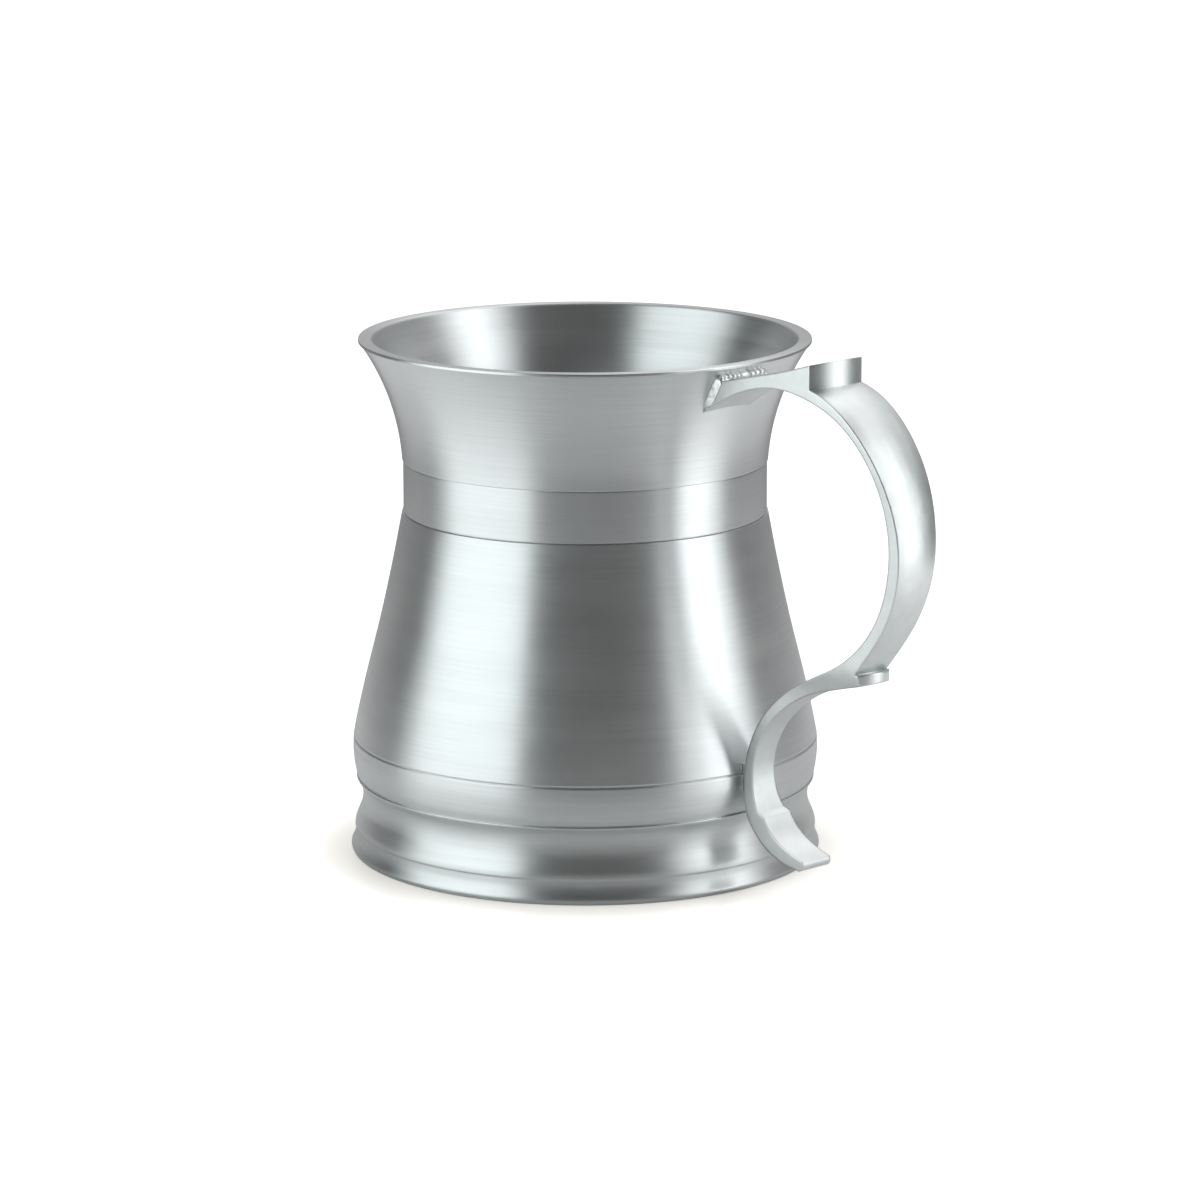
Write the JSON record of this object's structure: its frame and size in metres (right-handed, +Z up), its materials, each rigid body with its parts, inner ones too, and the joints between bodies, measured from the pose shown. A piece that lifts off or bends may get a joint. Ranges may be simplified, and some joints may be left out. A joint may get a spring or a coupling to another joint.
{
  "type": "tankard",
  "caption": "Lidless drinking tankard with a flared neck, plain waist band, full belly, moulded spreading foot and an open double-scroll handle with a flat thumb rest.",
  "frame": {"origin": "on the vessel's axis, in the plane of the foot's resting face", "axes": "+Z up along the vessel's axis, +X out through the middle of the handle, and +Y across the handle, completing a right-handed set"},
  "size_m": [0.1516, 0.1042, 0.1187],
  "materials": {
    "turned_pewter": "satin pewter, fine turned lines running round the axis",
    "cast_pewter": "satin cast pewter, filed edges, no direction in the grain",
    "solder": "bright soft solder, slightly lumpy and pitted"
  },
  "bodies": {
    "root": {"neck_casting": "turned_pewter", "belly_casting": "turned_pewter", "foot_casting": "turned_pewter", "base_plate": "turned_pewter", "handle_casting": "cast_pewter", "neck_seam_solder": "solder", "foot_seam_solder": "solder", "base_plate_solder": "solder", "upper_handle_solder": "solder", "lower_handle_solder": "solder"}
  },
  "joints": []
}
